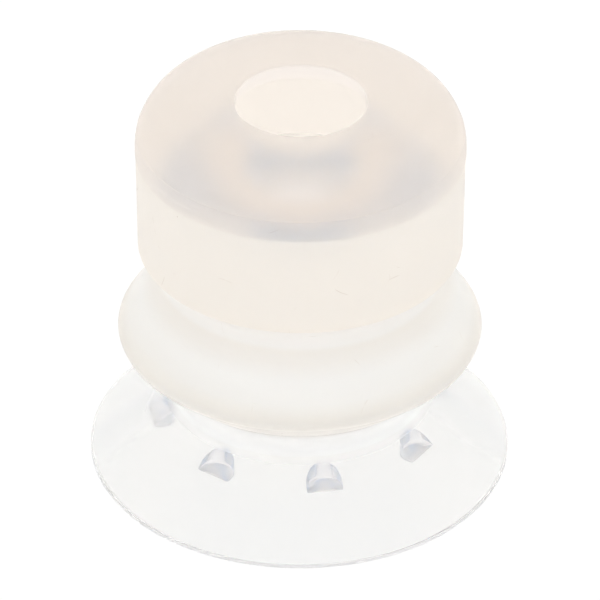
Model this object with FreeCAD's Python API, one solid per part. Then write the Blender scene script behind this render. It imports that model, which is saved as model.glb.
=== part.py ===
import FreeCAD
import Part
import math
import os

# A round silicone suction cup with one and a half bellows folds.
# It is one moulding, split here into the zones that move against each other when it works.
# The axis is +Z, and the origin is the centre of the sealing plane under the lip.
# Lengths are in millimetres and angles in degrees.

# Lip
lip_diameter = 20.0
lip_edge_height = 0.20
sealing_land = 0.25
lip_height = 4.15

# Waist, the narrowest ring of the bellows, just above the lip
waist_diameter = 11.8
waist_wall = 0.80
waist_fillet = 0.60

# Crest, the widest ring of the bellows
crest_diameter = 17.15
crest_wall = 0.70
crest_nose_radius = 0.36
crest_groove_radius = 0.40
lower_fold_height = 2.85
upper_fold_height = 3.80

# Neck under the collar
neck_diameter = 12.6
neck_wall = 1.00
neck_fillet = 0.80

# Collar that a fitting's nipple is pushed into
collar_diameter = 15.3
collar_draft = 0.06
collar_height = 5.40
collar_edge_radius = 0.15
shoulder_radius = 2.50
crown_radius = 18.9

# Bore for the nipple: a straight mouth, then a throat that narrows down to a sloping ledge
bore_diameter = 6.1
bore_edge_radius = 0.12
mouth_depth = 1.45
throat_length = 2.32
throat_taper = 4.55
ledge_slope = 19.0

# Chamber below the ledge, where the nipple's barb springs open
chamber_diameter = 9.84
chamber_corner_radius = 0.25

# Cleats under the lip that keep a workpiece from being drawn in
cleat_count = 8
cleat_circle_diameter = 11.6
cleat_width = 1.67
cleat_length = 1.12
cleat_drop = 0.10
cleat_first_angle = -80.0

# Heights of the planes where one zone ends and the next begins
crest_half_height = 0.55
waist_above = 0.75
waist_below = 0.55
rim_height = 0.70

# Levels up the axis
waist_z = lip_height
crest_z = waist_z + lower_fold_height
neck_z = crest_z + upper_fold_height
collar_z = neck_z + neck_fillet
shoulder_z = collar_z + collar_height

# Radii
lip_radius = lip_diameter / 2
collar_radius = collar_diameter / 2
collar_foot_radius = collar_radius - collar_draft
bore_radius = bore_diameter / 2
chamber_radius = chamber_diameter / 2
neck_radius = neck_diameter / 2
waist_radius = waist_diameter / 2
crest_radius = crest_diameter / 2


def at(radius, height):
    """A point of the section, which lies in the XZ plane."""
    return FreeCAD.Vector(radius, 0, height)


def on_circle(centre, radius, angle):
    """The point of a circle at an angle from +X towards +Z."""
    turn = math.radians(angle)
    return centre + at(radius * math.cos(turn), radius * math.sin(turn))


def line(start, end):
    return Part.LineSegment(start, end).toShape()


def arc(centre, radius, start, end):
    """The arc of a circle from one angle to another, the short way through their mean."""
    points = [on_circle(centre, radius, angle) for angle in (start, (start + end) / 2, end)]
    return Part.Arc(*points).toShape()


def crossing_normal(near, near_radius, far, far_radius, side):
    """Angle of the normal of the line that passes between two circles and touches both.

    The near circle lies behind the line and the far one in front of it.
    """
    span = far - near
    bearing = math.degrees(math.atan2(span.z, span.x))
    lean = math.degrees(math.acos((near_radius + far_radius) / span.Length))
    return math.remainder(bearing + side * lean, 360)


def chain(*pieces):
    """A closed wire of the arcs and lines given, with straight lines across the gaps between them."""
    edges = []
    for piece, after in zip(pieces, pieces[1:] + pieces[:1]):
        edges.append(piece)
        end = piece.valueAt(piece.LastParameter)
        start = after.valueAt(after.FirstParameter)
        if end.distanceToPoint(start) > 1e-7:
            edges.append(line(end, start))
    return Part.Wire(edges)


def turned(wire):
    return Part.Face(wire).revolve(FreeCAD.Vector(), FreeCAD.Vector(0, 0, 1), 360)


# Centres of the section's round stretches
neck_centre = at(neck_radius + neck_fillet, neck_z)
nose_centre = at(crest_radius - crest_nose_radius, crest_z)
groove_centre = at(crest_radius - crest_wall - crest_groove_radius, crest_z)
waist_centre = at(waist_radius + waist_fillet, waist_z)
shoulder_centre = at(collar_radius - shoulder_radius, shoulder_z)
foot_centre = at(collar_foot_radius - collar_edge_radius, collar_z + collar_edge_radius)

# Ends of the lip's upper and lower faces at the sealing edge
edge_top = at(lip_radius, lip_edge_height)
land_inside = at(lip_radius - sealing_land, 0)

# Normals of the straight flanks, outside and inside
waist_inside = waist_fillet + waist_wall
neck_inside = neck_fillet + neck_wall
lip_out = crossing_normal(edge_top, 0, waist_centre, waist_fillet, -1)
lower_out = crossing_normal(nose_centre, crest_nose_radius, waist_centre, waist_fillet, 1)
upper_out = crossing_normal(nose_centre, crest_nose_radius, neck_centre, neck_fillet, -1)
lip_in = crossing_normal(land_inside, 0, waist_centre, waist_inside, -1)
lower_in = crossing_normal(groove_centre, crest_groove_radius, waist_centre, waist_inside, 1)
upper_in = crossing_normal(groove_centre, crest_groove_radius, neck_centre, neck_inside, -1)

# The crown runs level off the shoulder and falls a little to the rounded rim of the bore
crown_centre = shoulder_centre + at(0, shoulder_radius - crown_radius)
rim_radius = bore_radius + bore_edge_radius
rim_across = rim_radius - crown_centre.x
rim_rise = math.sqrt((crown_radius - bore_edge_radius) ** 2 - rim_across ** 2)
rim_centre = crown_centre + at(rim_across, rim_rise)
rim_normal = math.degrees(math.atan2(rim_rise, rim_across))

# The throat narrows from the straight mouth down to the ledge
throat_z = rim_centre.z - mouth_depth
ledge_z = throat_z - throat_length
throat_radius = bore_radius - throat_length * math.tan(math.radians(throat_taper))

# The ledge falls outwards to the rounded corner of the chamber
fall = math.radians(ledge_slope)
corner_radius = chamber_radius - chamber_corner_radius
touch_radius = corner_radius + chamber_corner_radius * math.sin(fall)
touch_z = ledge_z - (touch_radius - throat_radius) * math.tan(fall)
corner_centre = at(corner_radius, touch_z - chamber_corner_radius * math.cos(fall))

# The whole moulding, from the sealing land up the outside and down the inside
section = chain(
    line(land_inside, at(lip_radius, 0)),
    line(at(lip_radius, 0), edge_top),
    arc(waist_centre, waist_fillet, lip_out + 180, lower_out + 180),
    arc(nose_centre, crest_nose_radius, lower_out, upper_out),
    arc(neck_centre, neck_fillet, upper_out + 180, 90),
    arc(foot_centre, collar_edge_radius, -90, 0),
    arc(shoulder_centre, shoulder_radius, 0, 90),
    arc(crown_centre, crown_radius, 90, rim_normal),
    arc(rim_centre, bore_edge_radius, rim_normal, 180),
    line(at(bore_radius, throat_z), at(throat_radius, ledge_z)),
    arc(corner_centre, chamber_corner_radius, 90 - ledge_slope, 0),
    arc(neck_centre, neck_inside, 180, upper_in + 180),
    arc(groove_centre, crest_groove_radius, upper_in, lower_in),
    arc(waist_centre, waist_inside, lower_in + 180, lip_in + 180),
)
moulding = turned(section)


def zone(bottom, top):
    """The ring of the moulding between two levels, as one solid."""
    slab = Part.makeCylinder(lip_diameter, top - bottom, FreeCAD.Vector(0, 0, bottom))
    return moulding.common(slab).Solids[0]


# The levels that part the zones
rim_top = rim_height
lip_top = waist_z - waist_below
waist_top = waist_z + waist_above
crest_bottom = crest_z - crest_half_height
crest_top = crest_z + crest_half_height
height = shoulder_z + shoulder_radius

# One cleat: a D-shaped post whose round side faces the axis, cut off by the underside of the lip
lip_root = on_circle(waist_centre, waist_inside, lip_in + 180)
lip_fall = (lip_root.z - land_inside.z) / (land_inside.x - lip_root.x)
cleat_inner = cleat_circle_diameter / 2
cleat_outer = cleat_inner + cleat_length
cleat_bottom = (land_inside.x - cleat_outer) * lip_fall - cleat_drop
half_width = cleat_width / 2
round_start = cleat_inner + half_width


def flat_point(across, along):
    return FreeCAD.Vector(across, along, cleat_bottom)


outline = Part.Wire([
    line(flat_point(round_start, -half_width), flat_point(cleat_outer, -half_width)),
    line(flat_point(cleat_outer, -half_width), flat_point(cleat_outer, half_width)),
    line(flat_point(cleat_outer, half_width), flat_point(round_start, half_width)),
    Part.Arc(
        flat_point(round_start, half_width),
        flat_point(cleat_inner, 0),
        flat_point(round_start, -half_width),
    ).toShape(),
])
post = Part.Face(outline).extrude(FreeCAD.Vector(0, 0, lip_root.z - cleat_bottom))
under_lip = turned(Part.makePolygon([
    at(0, cleat_bottom),
    at(land_inside.x - cleat_bottom / lip_fall, cleat_bottom),
    lip_root,
    at(0, lip_root.z),
    at(0, cleat_bottom),
]))
cleat = post.common(under_lip).Solids[0]


def cleat_at(index):
    turned_cleat = cleat.copy()
    angle = cleat_first_angle + index * 360 / cleat_count
    turned_cleat.rotate(FreeCAD.Vector(), FreeCAD.Vector(0, 0, 1), angle)
    return turned_cleat


nodes = {
    "sealing_edge": zone(0, rim_top),
    "lip_skirt": zone(rim_top, lip_top),
    "grip_cleats": Part.makeCompound([cleat_at(index) for index in range(cleat_count)]),
    "waist_ring": zone(lip_top, waist_top),
    "lower_bellows_wall": zone(waist_top, crest_bottom),
    "bellows_crest": zone(crest_bottom, crest_top),
    "upper_bellows_wall": zone(crest_top, neck_z),
    "mounting_collar": zone(neck_z, height),
}

os.makedirs("parts", exist_ok=True)
for name, shape in nodes.items():
    shape.exportStep("parts/" + name + ".step")
    box = shape.optimalBoundingBox()
    print(name, len(shape.Solids), shape.isValid(), round(shape.Volume, 4), round(box.ZMin, 3), round(box.ZMax, 3))
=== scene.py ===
import math

import bpy
import numpy as np
from mathutils import Matrix, Vector


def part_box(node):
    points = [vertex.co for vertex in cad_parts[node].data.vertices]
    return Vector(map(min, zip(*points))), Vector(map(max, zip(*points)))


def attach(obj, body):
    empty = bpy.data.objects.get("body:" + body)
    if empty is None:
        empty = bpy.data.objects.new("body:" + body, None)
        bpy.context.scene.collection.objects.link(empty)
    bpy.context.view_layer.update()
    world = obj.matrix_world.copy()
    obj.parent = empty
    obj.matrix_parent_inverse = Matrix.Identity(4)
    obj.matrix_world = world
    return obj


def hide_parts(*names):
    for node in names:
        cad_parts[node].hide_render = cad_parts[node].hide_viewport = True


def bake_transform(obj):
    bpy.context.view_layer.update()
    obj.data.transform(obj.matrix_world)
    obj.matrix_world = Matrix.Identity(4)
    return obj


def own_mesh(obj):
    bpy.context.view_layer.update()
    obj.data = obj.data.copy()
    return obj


bl_info = {
    "name": "Bellows Suction Cup",
    "version": (1, 0, 0),
    "blender": (4, 5, 0),
    "location": "View3D > Sidebar > Cup",
    "description": "Builds a translucent silicone bellows suction cup around its packed CAD frame",
    "category": "Object",
}

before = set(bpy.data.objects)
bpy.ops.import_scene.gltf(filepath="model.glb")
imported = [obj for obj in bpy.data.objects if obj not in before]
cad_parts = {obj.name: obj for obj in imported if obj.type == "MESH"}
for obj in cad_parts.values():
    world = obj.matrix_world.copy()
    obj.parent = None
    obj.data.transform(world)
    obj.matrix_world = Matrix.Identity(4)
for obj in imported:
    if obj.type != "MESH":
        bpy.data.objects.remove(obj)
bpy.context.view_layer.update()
MM = 0.001
# Points closer than this are one point, and levels closer than the second are one level, in metres
SAME_POINT = 1e-9
SAME_LEVEL = 1e-8


def linear(code):
    """An sRGB hex value as the linear red, green, blue and alpha that shaders take."""
    parts = np.array([int(code[i:i + 2], 16) for i in (1, 3, 5)]) / 255
    flat = np.where(parts <= 0.04045, parts / 12.92, ((parts + 0.055) / 1.055) ** 2.4)
    return (*flat.tolist(), 1.0)


def level(node, end):
    """The lowest (0) or highest (1) level of a CAD node."""
    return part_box(node)[end].z


def length(label, about, default):
    return bpy.props.FloatProperty(name=label, description=about, default=default, unit="LENGTH", precision=5)


def angle(label, about, degrees):
    return bpy.props.FloatProperty(
        name=label, description=about, default=math.radians(degrees), subtype="ANGLE")


def share(label, about, default):
    return bpy.props.FloatProperty(
        name=label, description=about, default=default, min=0, max=1, subtype="FACTOR")


def colour(label, about, code):
    return bpy.props.FloatVectorProperty(
        name=label, description=about, default=linear(code), size=4, subtype="COLOR", min=0, max=1)


class CupSizes(bpy.types.PropertyGroup):
    """Sizes of the moulding's section, in metres. Its outer reach and end levels come from the frame."""
    lip_radius: length("Lip radius", "Outer radius of the sealing edge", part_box("sealing_edge")[1].x)
    lip_edge: length("Lip edge", "Height of the upright face at the rim", 0.20 * MM)
    land: length("Sealing land", "Width of the flat land under the rim", 0.25 * MM)
    waist_z: length("Waist level", "Level of the narrowest ring", 4.15 * MM)
    waist_radius: length("Waist radius", "Outer radius of the narrowest ring", 5.90 * MM)
    waist_fillet: length("Waist fillet", "Radius of the hollow round the waist", 0.60 * MM)
    waist_wall: length("Waist wall", "Wall at the waist", 0.80 * MM)
    crest_z: length("Crest level", "Level of the widest ring", 7.00 * MM)
    crest_radius: length("Crest radius", "Outer radius of the widest ring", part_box("bellows_crest")[1].x)
    crest_nose: length("Crest nose", "Rounding of the crest", 0.36 * MM)
    crest_wall: length("Crest wall", "Depth of solid silicone at the crest", 0.70 * MM)
    crest_groove: length("Crest groove", "Rounding of the groove inside the crest", 0.40 * MM)
    neck_z: length("Neck level", "Level of the neck under the collar", level("mounting_collar", 0))
    neck_radius: length("Neck radius", "Outer radius of the neck", 6.30 * MM)
    neck_fillet: length("Neck fillet", "Radius of the hollow under the collar", 0.80 * MM)
    neck_wall: length("Neck wall", "Wall at the neck", 1.00 * MM)
    collar_radius: length("Collar radius", "Largest radius of the collar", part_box("mounting_collar")[1].x)
    collar_draft: length("Collar draft", "How much the collar narrows to its foot", 0.06 * MM)
    collar_edge: length("Collar edge", "Rounding of the collar's lower edge", 0.15 * MM)
    collar_top: length("Collar top", "Highest level of the crown", level("mounting_collar", 1))
    shoulder: length("Shoulder", "Rounding between the collar's side and its crown", 2.50 * MM)
    crown_radius: length("Crown radius", "Radius of the crown's fall to the bore", 18.9 * MM)
    bore_radius: length("Bore radius", "Radius of the bore's straight mouth", 3.05 * MM)
    bore_edge: length("Bore edge", "Rounding of the bore's rim", 0.12 * MM)
    mouth_depth: length("Mouth depth", "Length of the bore's straight mouth", 1.45 * MM)
    throat_length: length("Throat length", "Length of the narrowing throat below the mouth", 2.32 * MM)
    throat_taper: angle("Throat taper", "Lean of the throat's wall", 4.55)
    ledge_slope: angle("Ledge slope", "Fall of the ledge that holds the nipple's barb", 19.0)
    chamber_radius: length("Chamber radius", "Radius of the chamber under the ledge", 4.92 * MM)
    chamber_corner: length("Chamber corner", "Rounding where the ledge meets the chamber", 0.25 * MM)
    parting_level: length("Parting level", "Level where the polished crown meets the satin side", 16.7 * MM)
    parting_step: length("Parting step", "Depth of the step that the mould leaves there", 0.025 * MM)
    witness_level: length("Witness level", "Level of the mould's hairline on the shoulder", 17.7 * MM)
    witness_rise: length("Witness rise", "Height of a mould's hairline", 0.012 * MM)
    witness_width: length("Witness width", "Half the width of a mould's hairline", 0.03 * MM)
    cleat_width: length("Cleat width", "Width of a cleat under the lip", 1.67 * MM)
    cleat_length: length("Cleat length", "Reach of a cleat towards the rim", 1.12 * MM)
    cleat_drop: length("Cleat drop", "Height of a cleat's outer face", 0.10 * MM)
    cleat_circle: length("Cleat circle", "Radius of the circle inside the cleats", 5.80 * MM)
    cleat_edge: length("Cleat edge", "Rounding of a cleat's outer corners and foot", 0.06 * MM)
    cleat_gap: length("Cleat gap", "Hair's breadth left between a cleat and the lip above it", 0.004 * MM)
    cleat_turn: angle("Cleat turn", "Bearing of the first cleat", -80)
    cleat_count: bpy.props.IntProperty(name="Cleats", description="Number of cleats", default=8, min=1)
    floor_drop: length("Floor drop", "Depth of the ground, out of reach of the tilting lip", 1.1 * MM)
    grain: length("Mesh step", "Spacing of points along the section", 0.12 * MM)
    around: bpy.props.IntProperty(
        name="Steps around", description="Points around the axis", default=360, min=24)


class CupLooks(bpy.types.PropertyGroup):
    """Colours and clarity of the silicone, thick and thin, and the light of the stage."""
    side: colour("Collar side", "Light through the satin side of the collar", "#fef9f3")
    side_milk: colour("Side milk", "Haze of the satin side", "#fefaf4")
    crown: colour("Crown", "Light through the polished crown", "#f9ede5")
    crown_milk: colour("Crown milk", "Haze of the crown", "#f0eeec")
    core: colour("Core", "Light through the bore and the chamber", "#fff9f4")
    flank: colour("Flank", "Thin walls of the bellows", "#fefefd")
    crest: colour("Crest", "Thick ring of the bellows", "#f9f6f1")
    ring: colour("Rings", "Thin rings at the waist and the neck", "#ffffff")
    # Painted shade: a darker milk for the walls under the collar, on the upper flank and under the crest
    shade: colour("Shade", "Walls just under the collar and the crest", "#f9f6f2")
    lip: colour("Lip", "Thin lip", "#fcfbf9")
    rim: colour("Rim", "Frosty edge of the lip", "#f5f5f7")
    cleat: colour("Cleats", "Light through the cleats under the lip", "#fcfafc")
    speck: colour("Speck", "Grit and hairs caught in the moulding", "#b8a594")
    side_clarity: share("Side clarity", "Share of light that passes the satin side unscattered", 0.10)
    crown_clarity: share("Crown clarity", "Share of light that passes the polished crown unscattered", 0.66)
    core_clarity: share("Core clarity", "Share of light that passes the bore and chamber unscattered", 0.92)
    wall_clarity: share("Wall clarity", "Share of light that passes the bellows unscattered", 0.38)
    lip_clarity: share("Lip clarity", "Share of light that passes the lip unscattered", 0.75)
    cleat_clarity: share("Cleat clarity", "Share of light that passes the cleats unscattered", 0.95)
    floor: colour("Floor", "White ground", "#ffffff")
    front: colour("Front", "Blue dusk of the room on the camera's side", "#1084c8")
    back: colour("Back", "Half-lit room behind the cup", "#ccd8e6")


def sizes():
    return bpy.context.scene.cup_sizes


def looks():
    return bpy.context.scene.cup_looks


# The section of the moulding, as points of radius and height
def straight(start, end, step):
    """Points evenly spaced from start to end."""
    start, end = np.array(start), np.array(end)
    count = max(2, math.ceil(np.linalg.norm(end - start) / step) + 1)
    return start + (end - start) * np.linspace(0, 1, count)[:, None]


def bow(centre, radius, first, last, step):
    """Points of a circular arc: centre plus radius times the cosine and sine of the angle, in degrees."""
    count = max(7, math.ceil(abs(math.radians(last - first)) * radius / step) + 1)
    turn = np.radians(np.linspace(first, last, count))
    return np.array(centre) + radius * np.column_stack([np.cos(turn), np.sin(turn)])


def crossing(near, near_radius, far, far_radius, side):
    """Angle of the normal of the line that passes between two circles and touches both."""
    span = np.subtract(far, near)
    lean = math.acos((near_radius + far_radius) / np.linalg.norm(span))
    return math.remainder(math.degrees(math.atan2(span[1], span[0]) + side * lean), 360)


def joined(runs, step):
    """One line of points through several runs, with straight points across the gaps between them."""
    whole = [runs[0]]
    for before, after in zip(runs, runs[1:]):
        if np.linalg.norm(after[0] - before[-1]) > SAME_POINT:
            whole.append(straight(before[-1], after[0], step)[1:-1])
        whole.append(after)
    points = np.vstack(whole)
    fresh = np.r_[True, np.linalg.norm(np.diff(points, axis=0), axis=1) > SAME_POINT]
    return points[fresh]


def centres(s):
    """Centres of the section's round stretches."""
    shoulder = (s.collar_radius - s.shoulder, s.collar_top - s.shoulder)
    crown = (shoulder[0], s.collar_top - s.crown_radius)
    rim = s.bore_radius + s.bore_edge
    rise = math.sqrt((s.crown_radius - s.bore_edge) ** 2 - (rim - crown[0]) ** 2)
    return {
        "neck": (s.neck_radius + s.neck_fillet, s.neck_z),
        "nose": (s.crest_radius - s.crest_nose, s.crest_z),
        "groove": (s.crest_radius - s.crest_wall - s.crest_groove, s.crest_z),
        "waist": (s.waist_radius + s.waist_fillet, s.waist_z),
        "foot": (s.collar_radius - s.collar_draft - s.collar_edge, s.neck_z + s.neck_fillet + s.collar_edge),
        "shoulder": shoulder,
        "crown": crown,
        "rim": (rim, crown[1] + rise),
    }


def outer_profile(s):
    """Outside of the section from the sealing land up over the crown to the bore's rim."""
    c = centres(s)
    edge_top = (s.lip_radius, s.lip_edge)
    lip = crossing(edge_top, 0, c["waist"], s.waist_fillet, -1)
    lower = crossing(c["nose"], s.crest_nose, c["waist"], s.waist_fillet, 1)
    upper = crossing(c["nose"], s.crest_nose, c["neck"], s.neck_fillet, -1)
    rim_end = math.degrees(math.atan2(c["rim"][1] - c["crown"][1], c["rim"][0] - c["crown"][0]))
    below = (s.collar_radius - s.parting_step, s.parting_level)
    runs = [
        straight((s.lip_radius, 0), edge_top, s.grain),
        bow(c["waist"], s.waist_fillet, lip + 180, lower + 180, s.grain / 2),
        bow(c["nose"], s.crest_nose, lower, upper, s.grain / 4),
        bow(c["neck"], s.neck_fillet, upper + 180, 90, s.grain / 2),
        bow(c["foot"], s.collar_edge, -90, 0, s.grain / 4),
        straight(below, (s.collar_radius, s.parting_level + s.parting_step / 4), s.grain),
        bow(c["shoulder"], s.shoulder, 0, 90, s.grain / 2),
        bow(c["crown"], s.crown_radius, 90, rim_end, s.grain),
        bow(c["rim"], s.bore_edge, rim_end, 180, s.grain / 4),
    ]
    profile = joined(runs, s.grain)
    for height in (s.crest_z, s.witness_level):
        profile = hairline(profile, height, s.witness_rise, s.witness_width)
    return profile


def hairline(profile, height, rise, width):
    """The profile with a fine ridge at a level: a raised cosine along the normal there.

    Points of the profile that lie within the ridge, or just beside it, make room for it.
    """
    first = np.argmax(profile[:, 1] > height)
    before, after = profile[first - 1], profile[first]
    along = (after - before) / np.linalg.norm(after - before)
    middle = before + along * (height - before[1]) / along[1]
    offset = np.linspace(-1, 1, 9)[:, None]
    out = np.array([along[1], -along[0]])
    ridge = middle + along * width * offset + out * rise * (1 + np.cos(math.pi * offset)) / 2
    reach = (profile - middle) @ along
    near = np.linalg.norm(profile - middle, axis=1) < 10 * width
    room = 1.2 * width
    low = np.flatnonzero(~near | (reach < -room))
    high = np.flatnonzero(~near | (reach > room))
    return np.vstack([profile[low[low < first]], ridge, profile[high[high >= first]]])


def inner_profile(s):
    """Inside of the section from the sealing land up through the chamber and the bore to its rim."""
    c = centres(s)
    land = (s.lip_radius - s.land, 0)
    waist = s.waist_fillet + s.waist_wall
    neck = s.neck_fillet + s.neck_wall
    lip = crossing(land, 0, c["waist"], waist, -1)
    lower = crossing(c["groove"], s.crest_groove, c["waist"], waist, 1)
    upper = crossing(c["groove"], s.crest_groove, c["neck"], neck, -1)
    throat_z = c["rim"][1] - s.mouth_depth
    ledge_z = throat_z - s.throat_length
    throat = s.bore_radius - s.throat_length * math.tan(s.throat_taper)
    corner = s.chamber_radius - s.chamber_corner
    touch = corner + s.chamber_corner * math.sin(s.ledge_slope)
    touch_z = ledge_z - (touch - throat) * math.tan(s.ledge_slope)
    corner_centre = (corner, touch_z - s.chamber_corner * math.cos(s.ledge_slope))
    runs = [
        np.array([land]),
        bow(c["waist"], waist, lip + 180, lower + 180, s.grain / 2),
        bow(c["groove"], s.crest_groove, lower, upper, s.grain / 4),
        bow(c["neck"], neck, upper + 180, 180, s.grain / 2),
        bow(corner_centre, s.chamber_corner, 0, 90 - math.degrees(s.ledge_slope), s.grain / 4),
        straight((throat, ledge_z), (s.bore_radius, throat_z), s.grain),
        np.array([[s.bore_radius, c["rim"][1]]]),
    ]
    return joined(runs, s.grain)


def between(profile, bottom, top):
    """The stretch of a profile between two levels, with its ends on them."""
    radius, height = profile.T
    inside = (height > bottom + SAME_LEVEL) & (height < top - SAME_LEVEL)
    ends = np.interp([bottom, top], height, radius)
    return np.vstack([[ends[0], bottom], profile[inside], [ends[1], top]])


def above(profile, bottom):
    """The stretch of a profile above a level, to its end."""
    first = np.argmax(profile[:, 1] > bottom + SAME_LEVEL)
    start = np.interp(bottom, profile[first - 1:first + 1, 1], profile[first - 1:first + 1, 0])
    return np.vstack([[start, bottom], profile[first:]])


# Meshes
FINISHES = {"outside": 0, "contact": 1, "crown": 2, "core": 3, "rim": 4}


def turned(name, outside, inside, contact, leans):
    """A ring: the closed section of outside going up and inside going down, carried round the axis.

    A point is radius times cosine, radius times sine, height. The level faces named in contact meet the
    next zone of the same moulding, and leans holds the normal of its skin where the two skins run on into
    each other. The UV map holds the share of a turn and the share of the whole height.
    """
    s = sizes()
    section = np.vstack([outside, inside[::-1]])
    count, around = len(section), s.around
    turn = np.linspace(0, 2 * math.pi, around, endpoint=False)
    radius, height = section[:, 0, None], section[:, 1, None]
    grid = np.stack([radius * np.cos(turn), radius * np.sin(turn), height + 0 * turn], axis=-1)
    row = np.repeat(np.arange(count), around)
    column = np.tile(np.arange(around), count)
    after, beside = (row + 1) % count, (column + 1) % around
    corners = [
        row * around + column, row * around + beside, after * around + beside, after * around + column]
    mesh = bpy.data.meshes.new(name)
    mesh.from_pydata(grid.reshape(-1, 3).tolist(), [], np.stack(corners, axis=-1).tolist())
    rise = section[:, 1] / s.collar_top
    share_round = np.stack([column, column + 1, column + 1, column], axis=-1) / around
    share_up = np.stack([rise[row], rise[row], rise[after], rise[after]], axis=-1)
    uv = mesh.uv_layers.new(name="moulding")
    uv.data.foreach_set("uv", np.stack([share_round, share_up], axis=-1).ravel())
    finish = np.full(len(row), FINISHES["outside"])
    up_side = row < len(outside) - 1
    finish[up_side & (section[row, 1] > s.parting_level)] = FINISHES["crown"]
    finish[up_side & (section[after, 1] < s.lip_edge + SAME_LEVEL)] = FINISHES["rim"]
    finish[(row >= len(outside)) & (row < count - 1)] = FINISHES["core"]
    finish[row == len(outside) - 1] = FINISHES["contact" if "top" in contact else "core"]
    if "bottom" in contact:
        finish[row == count - 1] = FINISHES["contact"]
    mesh.polygons.foreach_set("material_index", finish)
    piece = finished(name, mesh)
    normals = np.empty(len(row) * 12)
    mesh.corner_normals.foreach_get("vector", normals)
    normals = normals.reshape(-1, 4, 3)
    corner_row = np.stack([row, row, after, after], axis=-1)
    corner_turn = turn[np.stack([column, beside, beside, column], axis=-1)]
    for place, (out, up) in leans.items():
        at = (corner_row == place % count) & (finish != FINISHES["contact"])[:, None]
        around_axis = np.column_stack([out * np.cos(corner_turn[at]), out * np.sin(corner_turn[at])])
        normals[at] = np.column_stack([around_axis, np.full(at.sum(), up)])
    mesh.normals_split_custom_set(normals.reshape(-1, 3).tolist())
    return piece


def lean(profile, height, outward):
    """Normal of a climbing profile at a level, across the way from the points on either side of it."""
    first = np.argmax(profile[:, 1] > height)
    along = profile[first + 1] - profile[first - 2]
    return outward * np.array([along[1], -along[0]]) / np.linalg.norm(along)


def finished(name, mesh):
    """The object of a mesh, smooth with its real corners, of 35 degrees and more, kept sharp."""
    mesh.polygons.foreach_set("use_smooth", np.ones(len(mesh.polygons), bool))
    mesh.set_sharp_from_angle(angle=math.radians(35))
    mesh.update()
    mesh.validate()
    piece = bpy.data.objects.new(name, mesh)
    bpy.context.scene.collection.objects.link(piece)
    return piece


def ring(name, node, contact):
    """The zone of the moulding that a CAD node holds, from its lowest to its highest level."""
    s = sizes()
    bottom, top = level(node, 0), level(node, 1)
    outer, inner = outer_profile(s), inner_profile(s)
    outside, inside = between(outer, bottom, top), between(inner, bottom, top)
    leans = {}
    if "bottom" in contact:
        leans |= {0: lean(outer, bottom, 1), -1: lean(inner, bottom, -1)}
    if "top" in contact:
        leans |= {len(outside) - 1: lean(outer, top, 1), len(outside): lean(inner, top, -1)}
    return turned(name, outside, inside, contact, leans)


def cleat_rows(s):
    """One cleat as rings of points from its foot up to the lip: share of its outline, and height.

    The outline is a half circle towards the axis and a straight outer side with rounded corners. The foot's
    edge is rounded by a quarter circle. The top follows the lip's underside: height falls with radius.
    """
    half = s.cleat_width / 2
    inner = s.cleat_circle
    outer = inner + s.cleat_length
    corner = outer - s.cleat_edge
    outline = joined([
        bow((inner + half, 0), half, 90, 270, s.grain / 2),
        bow((corner, s.cleat_edge - half), s.cleat_edge, -90, 0, s.grain / 4),
        bow((corner, half - s.cleat_edge), s.cleat_edge, 0, 90, s.grain / 4),
        np.array([[inner + half, half]]),
    ], s.grain)[:-1]
    middle = np.array([(inner + outer) / 2, 0])
    land = s.lip_radius - s.land
    waist = s.waist_fillet + s.waist_wall
    waist_centre = centres(s)["waist"]
    slope = crossing((land, 0), 0, waist_centre, waist, -1)
    fall = 1 / math.tan(math.radians(slope))
    foot = (land - outer) * fall - s.cleat_drop
    turn = np.radians(np.linspace(0, 90, 5))
    shares = np.r_[0, 0.5, 1 - (1 - np.sin(turn)) * s.cleat_edge / half]
    heights = np.r_[foot, foot, foot + s.cleat_edge * (1 - np.cos(turn))]
    lower = middle + shares[:, None, None] * (outline - middle)
    lower = np.concatenate([lower, np.broadcast_to(heights[:, None, None], lower.shape[:2] + (1,))], axis=2)
    upper = middle + np.array([1, 0.66, 0.33, 0])[:, None, None] * (outline - middle)
    under = (land - np.linalg.norm(upper, axis=2)) * fall - s.cleat_gap
    upper = np.concatenate([upper, under[:, :, None]], axis=2)
    return np.concatenate([lower, upper])


def capped(rows):
    """Corners and faces of a closed skin through rings of points, the first and last ring being one point."""
    count, around = rows.shape[:2]
    points = np.vstack([rows[0, :1], rows[1:-1].reshape(-1, 3), rows[-1, :1]])
    column = np.arange(around)
    beside = (column + 1) % around
    start = 1 + np.arange(count - 3)[:, None] * around
    quads = np.stack(
        [start + column, start + beside, start + around + beside, start + around + column], axis=-1)
    last = 1 + (count - 3) * around
    foot = np.column_stack([beside + 1, column + 1, np.zeros(around, int)])
    head = np.column_stack([last + column, last + beside, np.full(around, len(points) - 1)])
    return points, quads.reshape(-1, 4).tolist() + foot.tolist() + head.tolist()


# Materials
def add(tree, kind, settings=(), links=()):
    """Adds a node, sets its inputs or properties by name, and links its inputs from sockets."""
    node = tree.nodes.new(kind)
    for key, value in dict(settings).items():
        if key in node.inputs:
            node.inputs[key].default_value = value
        else:
            setattr(node, key, value)
    for key, socket in dict(links).items():
        tree.links.new(socket, node.inputs[key])
    return node


def blank(name):
    """A new material and its node tree, with no nodes yet."""
    material = bpy.data.materials.new(name)
    material.use_nodes = True
    material.node_tree.nodes.clear()
    return material, material.node_tree


def per_metre(size_mm):
    """Scale of a pattern whose cells are a given size in millimetres, on coordinates in metres."""
    return 1 / (size_mm * MM)


# Sizes of the silicone's patterns in millimetres, and its refractive index
CLOUD_SIZE = 2.5
GRIT_SPACING = 1.1
HAIR_SPACING = 3.5
HAIR_LENGTH = 1.2
HAIR_BEND = 0.8
SATIN_DEPTH = 0.01
SILICONE_IOR = 1.41
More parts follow.
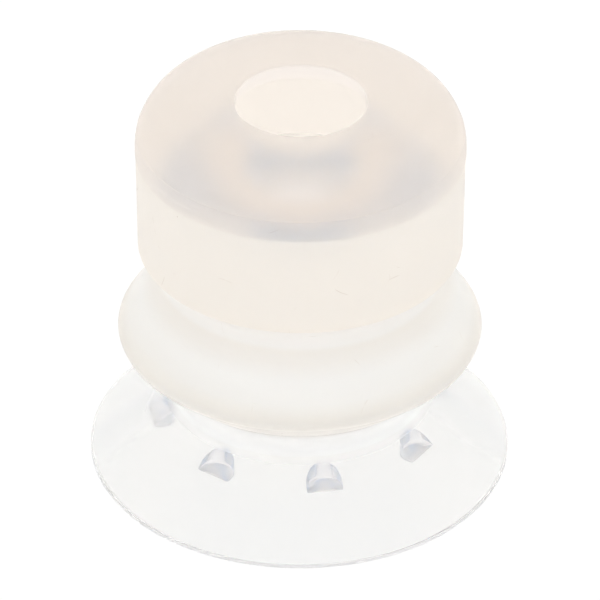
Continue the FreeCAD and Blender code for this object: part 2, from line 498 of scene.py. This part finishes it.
# Satin from a blasted mould is some 0.02 mm fine. A pixel of the render is 0.05 mm, so it is drawn coarser
SATIN_SIZE = 0.12


def silicone(name, tint, milk_tint, clarity, forward, roughness, satin):
    """Moulded silicone, part clear and part milky, whose milky share sends a part of its light on through.

    Fine satin from the mould shows as bump and uneven gloss, slow clouding of the milkiness as a change of
    tint, and grit and hairs as a few dark marks. A list of levels and colours in place of the milk's tint
    changes it up the moulding, because thick places hold more colour than thin ones; on the bellows that list
    also holds painted shade under the collar and the crest. Clarity and roughness may be a list of two levels
    and values too, between which they climb.
    """
    material, tree = blank(name)
    place = add(tree, "ShaderNodeTexCoord").outputs["Object"]

    # Clouds change the milk by a hundredth
    clouds = add(tree, "ShaderNodeTexNoise", {"Scale": per_metre(CLOUD_SIZE), "Detail": 2}, {"Vector": place})
    cloudy = add(tree, "ShaderNodeMapRange", {
        "From Min": 0.3, "From Max": 0.7, "To Min": 0.99, "To Max": 1.0}, {"Value": clouds.outputs[0]})

    # Grit sits in about one cell of six and is up to a twentieth of a cell in radius
    cells = add(tree, "ShaderNodeTexVoronoi", {"Scale": per_metre(GRIT_SPACING)}, {"Vector": place})
    pick = add(tree, "ShaderNodeSeparateColor", (), {"Color": cells.outputs["Color"]})
    size = add(tree, "ShaderNodeMapRange", {
        "From Min": 0.84, "From Max": 1.0, "To Min": 0.0, "To Max": 0.05}, {"Value": pick.outputs[0]})
    dot = add(tree, "ShaderNodeMath", {"operation": "LESS_THAN"},
              {0: cells.outputs["Distance"], 1: size.outputs[0]})

    # Hairs are the thin walls between large cells, bent by the clouds and cut short by spots
    bent = add(tree, "ShaderNodeMixRGB", {"Fac": HAIR_BEND * MM},
               {"Color1": place, "Color2": clouds.outputs["Color"]})
    veins = add(tree, "ShaderNodeTexVoronoi", {
        "feature": "DISTANCE_TO_EDGE", "Scale": per_metre(HAIR_SPACING)}, {"Vector": bent.outputs[0]})
    thin = add(tree, "ShaderNodeMapRange", {
        "From Min": 0.001, "From Max": 0.006, "To Min": 0.3, "To Max": 0.0},
        {"Value": veins.outputs["Distance"]})
    spots = add(tree, "ShaderNodeTexNoise", {"Scale": per_metre(HAIR_LENGTH)}, {"Vector": place})
    short = add(tree, "ShaderNodeMapRange", {"From Min": 0.62, "From Max": 0.70}, {"Value": spots.outputs[0]})
    hair = add(tree, "ShaderNodeMath", {"operation": "MULTIPLY"}, {0: thin.outputs[0], 1: short.outputs[0]})
    flaw = add(tree, "ShaderNodeMath", {"operation": "MAXIMUM"}, {0: dot.outputs[0], 1: hair.outputs[0]})

    # The milk's colour, with its clouds and marks, and on the bellows painted shade by level
    milk = add(tree, "ShaderNodeMixRGB", {"blend_type": "MULTIPLY", "Fac": 1.0},
               {"Color2": cloudy.outputs[0]})
    if isinstance(milk_tint, list):
        tree.links.new(by_level(tree, milk_tint), milk.inputs["Color1"])
    else:
        milk.inputs["Color1"].default_value = milk_tint
    skin = add(tree, "ShaderNodeMixRGB", {"Color2": looks().speck},
               {"Fac": flaw.outputs[0], "Color1": milk.outputs[0]})

    # The mould's satin makes the gloss uneven by a fifth and raises a fine bump
    frost = add(tree, "ShaderNodeTexNoise", {"Scale": per_metre(SATIN_SIZE), "Detail": 3}, {"Vector": place})
    gloss = add(tree, "ShaderNodeMapRange", {"To Min": 0.8, "To Max": 1.2}, {"Value": frost.outputs[0]})
    rough = add(tree, "ShaderNodeMath", {"operation": "MULTIPLY"}, {0: gloss.outputs[0]})
    set_or_climb(tree, rough.inputs[1], roughness)
    bump = add(tree, "ShaderNodeBump", {"Strength": satin, "Distance": SATIN_DEPTH * MM},
               {"Height": frost.outputs[0]})

    # Clear light bends through, and milky light scatters back or on through
    clear = add(tree, "ShaderNodeBsdfPrincipled", {
        "Base Color": tint, "IOR": SILICONE_IOR, "Transmission Weight": 1.0},
        {"Roughness": rough.outputs[0], "Normal": bump.outputs[0]})
    scatter = {"Color": skin.outputs[0], "Normal": bump.outputs[0]}
    back = add(tree, "ShaderNodeBsdfDiffuse", (), scatter)
    through = add(tree, "ShaderNodeBsdfTranslucent", (), scatter)
    milky = add(tree, "ShaderNodeMixShader", {"Fac": forward}, {1: back.outputs[0], 2: through.outputs[0]})
    shader = add(tree, "ShaderNodeMixShader", (), {1: milky.outputs[0], 2: clear.outputs[0]})
    set_or_climb(tree, shader.inputs[0], clarity)
    add(tree, "ShaderNodeOutputMaterial", (), {"Surface": shader.outputs[0]})
    return material


def share_up(tree):
    """Share of the whole height, from the moulding's UV map."""
    place = add(tree, "ShaderNodeUVMap", {"uv_map": "moulding"})
    return add(tree, "ShaderNodeSeparateXYZ", (), {"Vector": place.outputs[0]}).outputs["Y"]


def set_or_climb(tree, socket, value):
    """Sets a number, or links one that climbs smoothly between two levels in millimetres."""
    if not isinstance(value, list):
        socket.default_value = value
        return
    (low, first), (high, last) = value
    top = sizes().collar_top
    climb = add(tree, "ShaderNodeMapRange", {
        "interpolation_type": "SMOOTHSTEP", "From Min": low * MM / top, "From Max": high * MM / top,
        "To Min": first, "To Max": last}, {"Value": share_up(tree)})
    tree.links.new(climb.outputs[0], socket)


def by_level(tree, stops):
    """A colour that runs up the moulding through stops of level, in millimetres, and colour."""
    ramp = add(tree, "ShaderNodeValToRGB", (), {"Fac": share_up(tree)})
    elements = ramp.color_ramp.elements
    while len(elements) < len(stops):
        elements.new(0.5)
    for element, (height, _) in zip(elements, stops):
        element.position = height * MM / sizes().collar_top
    for element, (_, tint) in zip(elements, stops):
        element.color = tint
    return ramp.outputs[0]


def optical_contact(name):
    """Where two zones of one moulding meet there is no surface, so light passes straight on."""
    material, tree = blank(name)
    shader = add(tree, "ShaderNodeBsdfTransparent")
    add(tree, "ShaderNodeOutputMaterial", (), {"Surface": shader.outputs[0]})
    return material


def shared(name, make, **values):
    """The material of that name, made on first use."""
    return bpy.data.materials.get(name) or make(name, **values)


# Each list of finishes is in the order of FINISHES, and levels are in millimetres
def collar_finishes():
    """Satin side, optical contact, polished crown and the core's polish inside."""
    look = looks()
    parting = sizes().parting_level / MM
    # Thick silicone from a satin mould gives the eye an even, creamy glow without reflections
    side = shared("satin_collar_silicone", silicone, tint=look.side, milk_tint=look.side_milk,
                  clarity=look.side_clarity, forward=0.6, roughness=0.6, satin=0.3)
    # From a polished mould it is deep and clear: soft dark shapes inside are what its inner walls mirror
    crown = shared("polished_crown_silicone", silicone, tint=look.crown,
                   milk_tint=[(parting, look.side_milk), (parting + 0.9, look.crown_milk)],
                   clarity=[(parting, look.crown_clarity * 0.7), (parting + 1.5, look.crown_clarity)],
                   forward=0.8, roughness=0.34, satin=0.05)
    # The polished core leaves wet-looking walls in the bore and the chamber
    core = shared("core_silicone", silicone, tint=look.core, milk_tint=look.crown_milk,
                  clarity=look.core_clarity, forward=0.8, roughness=0.13, satin=0.05)
    return [side, shared("moulding_inside", optical_contact), crown, core]


def wall_finishes():
    """Satin walls: white at the thin waist and neck, creamy at the crest, and with painted shade where the
    collar and the crest overhang them.
    """
    look = looks()
    # Painted shade: the shade stops darken the lower wall under the crest, the upper flank and the neck under
    # the collar
    waist = [(3.6, look.ring), (4.5, look.ring), (5.4, look.shade)]
    crest = [(6.7, look.crest), (7.3, look.crest)]
    flank = [(7.9, look.flank), (8.8, look.flank), (9.5, look.shade), (9.95, look.shade)]
    neck = [(10.15, look.ring), (10.45, look.ring), (10.8, look.shade)]
    clarity, roughness = root_blend()
    # Thin silicone from a satin mould looks like frosted glass, lit from within; its milk carries the painted
    # shade by level
    satin = shared("bellows_silicone", silicone, tint=look.flank, milk_tint=[*waist, *crest, *flank, *neck],
                   clarity=clarity, forward=0.6, roughness=roughness, satin=0.25)
    return [satin, shared("moulding_inside", optical_contact), satin, satin]


def root_blend():
    """Clarity and roughness that climb from the glossy lip to the satin waist across the lip's root."""
    look = looks()
    clarity = [(3.3, look.lip_clarity), (4.2, look.wall_clarity)]
    roughness = [(5.0, 0.18), (6.2, 0.55)]
    return clarity, roughness


def lip_finishes():
    """Glossy lip: almost a window, with what lies under it showing through."""
    look = looks()
    clarity, roughness = root_blend()
    glossy = shared("thin_lip_silicone", silicone, tint=look.lip, milk_tint=look.lip,
                    clarity=clarity, forward=0.6, roughness=roughness, satin=0.03)
    return [glossy, shared("moulding_inside", optical_contact), glossy, glossy]


def rim_finish():
    """Frosty edge where the lip is trimmed: a soft grey line round the clear lip."""
    look = looks()
    return shared("trimmed_rim_silicone", silicone, tint=look.lip, milk_tint=look.rim,
                  clarity=0.25, forward=0.6, roughness=0.4, satin=0.1)


def cleat_finish():
    """Clear, sharply moulded lugs that bend the room into dark blue arches with a light middle."""
    look = looks()
    return [shared("clear_cleat_silicone", silicone, tint=look.cleat, milk_tint=look.lip,
                   clarity=look.cleat_clarity, forward=0.8, roughness=0.03, satin=0.02)]


def dress(piece, node, finishes):
    """Gives a piece its finishes and hides the CAD node that it stands for."""
    for material in finishes:
        piece.data.materials.append(material)
    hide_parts(node)


class CUP_OT_mounting_collar(bpy.types.Operator):
    """Thick collar with the bore, the chamber and the crowned top"""
    bl_idname = "cup.mounting_collar"
    bl_label = "Mounting Collar"

    def execute(self, context):
        s = sizes()
        bottom = level("mounting_collar", 0)
        outer, inner = outer_profile(s), inner_profile(s)
        leans = {0: lean(outer, bottom, 1), -1: lean(inner, bottom, -1)}
        outside, inside = above(outer, bottom)[:-1], above(inner, bottom)
        piece = turned("mounting_collar_skin", outside, inside, ["bottom"], leans)
        dress(piece, "mounting_collar", collar_finishes())
        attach(piece, "collar")
        return {"FINISHED"}


class CUP_OT_upper_bellows_wall(bpy.types.Operator):
    """Cone from the neck out to the crest"""
    bl_idname = "cup.upper_bellows_wall"
    bl_label = "Upper Bellows Wall"

    def execute(self, context):
        piece = ring("upper_bellows_wall_skin", "upper_bellows_wall", ["top", "bottom"])
        dress(piece, "upper_bellows_wall", wall_finishes())
        fold(piece, "collar")
        return {"FINISHED"}


class CUP_OT_bellows_crest(bpy.types.Operator):
    """Thick ring at the widest point of the bellows"""
    bl_idname = "cup.bellows_crest"
    bl_label = "Bellows Crest"

    def execute(self, context):
        piece = ring("bellows_crest_skin", "bellows_crest", ["top", "bottom"])
        dress(piece, "bellows_crest", wall_finishes())
        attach(piece, "crest")
        return {"FINISHED"}


class CUP_OT_lower_bellows_wall(bpy.types.Operator):
    """Cone from the crest back in to the waist"""
    bl_idname = "cup.lower_bellows_wall"
    bl_label = "Lower Bellows Wall"

    def execute(self, context):
        piece = ring("lower_bellows_wall_skin", "lower_bellows_wall", ["top", "bottom"])
        dress(piece, "lower_bellows_wall", wall_finishes())
        fold(piece, "crest")
        return {"FINISHED"}


def fold(piece, body):
    """Hangs a wall on a body and gives it a mesh of its own."""
    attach(piece, body)
    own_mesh(piece)


def bend(piece):
    """Bakes a ring's placement into its mesh."""
    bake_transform(piece)


class CUP_OT_waist_ring(bpy.types.Operator):
    """Narrow ring between the bellows and the lip"""
    bl_idname = "cup.waist_ring"
    bl_label = "Waist Ring"

    def execute(self, context):
        piece = ring("waist_ring_skin", "waist_ring", ["top", "bottom"])
        dress(piece, "waist_ring", wall_finishes())
        bend(piece)
        return {"FINISHED"}


class CUP_OT_lip_skirt(bpy.types.Operator):
    """Thin cone of the lip"""
    bl_idname = "cup.lip_skirt"
    bl_label = "Lip Skirt"

    def execute(self, context):
        piece = ring("lip_skirt_skin", "lip_skirt", ["top", "bottom"])
        dress(piece, "lip_skirt", lip_finishes())
        bend(piece)
        return {"FINISHED"}


class CUP_OT_sealing_edge(bpy.types.Operator):
    """Rim of the lip with its flat land"""
    bl_idname = "cup.sealing_edge"
    bl_label = "Sealing Edge"

    def execute(self, context):
        piece = ring("sealing_edge_skin", "sealing_edge", ["top"])
        dress(piece, "sealing_edge", [*lip_finishes(), rim_finish()])
        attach(piece, "rim")
        return {"FINISHED"}


class CUP_OT_grip_cleats(bpy.types.Operator):
    """Ring of posts under the lip that keep a workpiece from being drawn in"""
    bl_idname = "cup.grip_cleats"
    bl_label = "Grip Cleats"

    def execute(self, context):
        s = sizes()
        points, faces = capped(cleat_rows(s))
        every, skins = [], []
        for index in range(s.cleat_count):
            turn = Matrix.Rotation(s.cleat_turn + index * 2 * math.pi / s.cleat_count, 3, "Z")
            skins += [[corner + len(points) * index for corner in face] for face in faces]
            every.append(points @ np.array(turn).T)
        mesh = bpy.data.meshes.new("grip_cleats_skin")
        mesh.from_pydata(np.vstack(every).tolist(), [], skins)
        piece = finished("grip_cleats_skin", mesh)
        dress(piece, "grip_cleats", cleat_finish())
        bend(piece)
        return {"FINISHED"}


class CUP_OT_stage(bpy.types.Operator):
    """White ground, soft light from all round and the camera of the photograph"""
    bl_idname = "cup.stage"
    bl_label = "Stage"

    def execute(self, context):
        white_ground()
        context.scene.world = studio()
        context.scene.camera = photo_camera()
        context.scene.view_settings.view_transform = "Standard"
        cycles = context.scene.cycles
        # Light scatters many times between the clear walls, and the silicone turns dark with fewer bounces
        cycles.max_bounces = 48
        cycles.diffuse_bounces = 24
        cycles.glossy_bounces = 32
        cycles.transmission_bounces = 32
        cycles.transparent_max_bounces = 48
        cycles.blur_glossy = 0
        return {"FINISHED"}


def white_ground():
    """A lit white ground, 1.2 metres wide. From below it is clear, to show the cup's underside."""
    bpy.ops.mesh.primitive_plane_add(size=1.2, location=(0, 0, -sizes().floor_drop))
    floor = bpy.context.object
    floor.name = "floor"
    material, tree = blank("white_ground")
    # A little over full strength, so that it comes out pure white
    glow = add(tree, "ShaderNodeEmission", {"Color": looks().floor, "Strength": 1.03})
    clear = add(tree, "ShaderNodeBsdfTransparent")
    below = add(tree, "ShaderNodeNewGeometry").outputs["Backfacing"]
    side = add(tree, "ShaderNodeMixShader", (), {0: below, 1: glow.outputs[0], 2: clear.outputs[0]})
    add(tree, "ShaderNodeOutputMaterial", (), {"Surface": side.outputs[0]})
    floor.data.materials.append(material)


def studio():
    """A white tent to the camera and to scattered light. Clear silicone mirrors a blue front and dim back."""
    world = bpy.data.worlds.new("studio")
    world.use_nodes = True
    world.cycles.sampling_method = "NONE"
    tree = world.node_tree
    tree.nodes.clear()
    way = add(tree, "ShaderNodeTexCoord").outputs["Generated"]
    parts = add(tree, "ShaderNodeSeparateXYZ", (), {"Vector": way})
    # The front passes softly into the back at the cup's sides, and the horizon is sharper
    behind = add(tree, "ShaderNodeMapRange", {"From Min": -0.15, "From Max": 0.15},
                 {"Value": parts.outputs["Y"]})
    room = add(tree, "ShaderNodeMixRGB", {"Color1": looks().front, "Color2": looks().back},
               {"Fac": behind.outputs[0]})
    under = add(tree, "ShaderNodeMapRange", {"From Min": 0.0, "From Max": -0.02},
                {"Value": parts.outputs["Z"]})
    ground = add(tree, "ShaderNodeMixRGB", {"Color2": looks().floor},
                 {"Fac": under.outputs[0], "Color1": room.outputs[0]})
    path = add(tree, "ShaderNodeLightPath").outputs
    scattered = add(tree, "ShaderNodeMath", {"operation": "ADD"},
                    {0: path["Diffuse Depth"], 1: path["Is Diffuse Ray"]})
    plain = add(tree, "ShaderNodeMath", {"operation": "ADD"},
                {0: scattered.outputs[0], 1: path["Is Camera Ray"]})
    tent = add(tree, "ShaderNodeMixRGB", {"Color2": looks().floor, "use_clamp": True},
               {"Fac": plain.outputs[0], "Color1": ground.outputs[0]})
    glow = add(tree, "ShaderNodeBackground", {"Strength": 1.0}, {"Color": tent.outputs[0]})
    add(tree, "ShaderNodeOutputWorld", (), {"Surface": glow.outputs[0]})
    return world


def photo_camera():
    """The long lens of the photograph, looking down at the cup with a slight roll."""
    data = bpy.data.cameras.new("photo_camera")
    data.lens = 300
    data.sensor_width = 36
    data.clip_start = 0.01
    camera = bpy.data.objects.new("photo_camera", data)
    bpy.context.scene.collection.objects.link(camera)
    rise = math.radians(35.01)
    roll = math.radians(0.25)
    aim = Vector((0, 0, 8.193 * MM))
    distance_mm = 235.44
    back = Vector((0, -math.cos(rise), math.sin(rise)))
    camera.location = aim + back * distance_mm * MM
    facing = (-back).to_track_quat("-Z", "Y").to_matrix() @ Matrix.Rotation(roll, 3, "Z")
    camera.rotation_euler = facing.to_euler()
    return camera


class CUP_PT_panel(bpy.types.Panel):
    """Buttons for each zone of the cup and its stage"""
    bl_label = "Suction Cup"
    bl_idname = "CUP_PT_panel"
    bl_space_type = "VIEW_3D"
    bl_region_type = "UI"
    bl_category = "Cup"

    def draw(self, context):
        for item in OPERATORS:
            self.layout.operator(item.bl_idname)
        for group in (sizes(), looks()):
            for name in group.bl_rna.properties.keys():
                if name not in ("rna_type", "name"):
                    self.layout.prop(group, name)


OPERATORS = (
    CUP_OT_mounting_collar, CUP_OT_upper_bellows_wall, CUP_OT_bellows_crest, CUP_OT_lower_bellows_wall,
    CUP_OT_waist_ring, CUP_OT_lip_skirt, CUP_OT_sealing_edge, CUP_OT_grip_cleats, CUP_OT_stage)
CLASSES = (CupSizes, CupLooks, *OPERATORS, CUP_PT_panel)


def register():
    for item in CLASSES:
        bpy.utils.register_class(item)
    bpy.types.Scene.cup_sizes = bpy.props.PointerProperty(type=CupSizes)
    bpy.types.Scene.cup_looks = bpy.props.PointerProperty(type=CupLooks)


def unregister():
    del bpy.types.Scene.cup_looks
    del bpy.types.Scene.cup_sizes
    for item in reversed(CLASSES):
        bpy.utils.unregister_class(item)


def main():
    register()
    bpy.ops.cup.mounting_collar()
    bpy.ops.cup.upper_bellows_wall()
    bpy.ops.cup.bellows_crest()
    bpy.ops.cup.lower_bellows_wall()
    bpy.ops.cup.waist_ring()
    bpy.ops.cup.lip_skirt()
    bpy.ops.cup.sealing_edge()
    bpy.ops.cup.grip_cleats()
    bpy.ops.cup.stage()


if __name__ == "__main__":
    main()
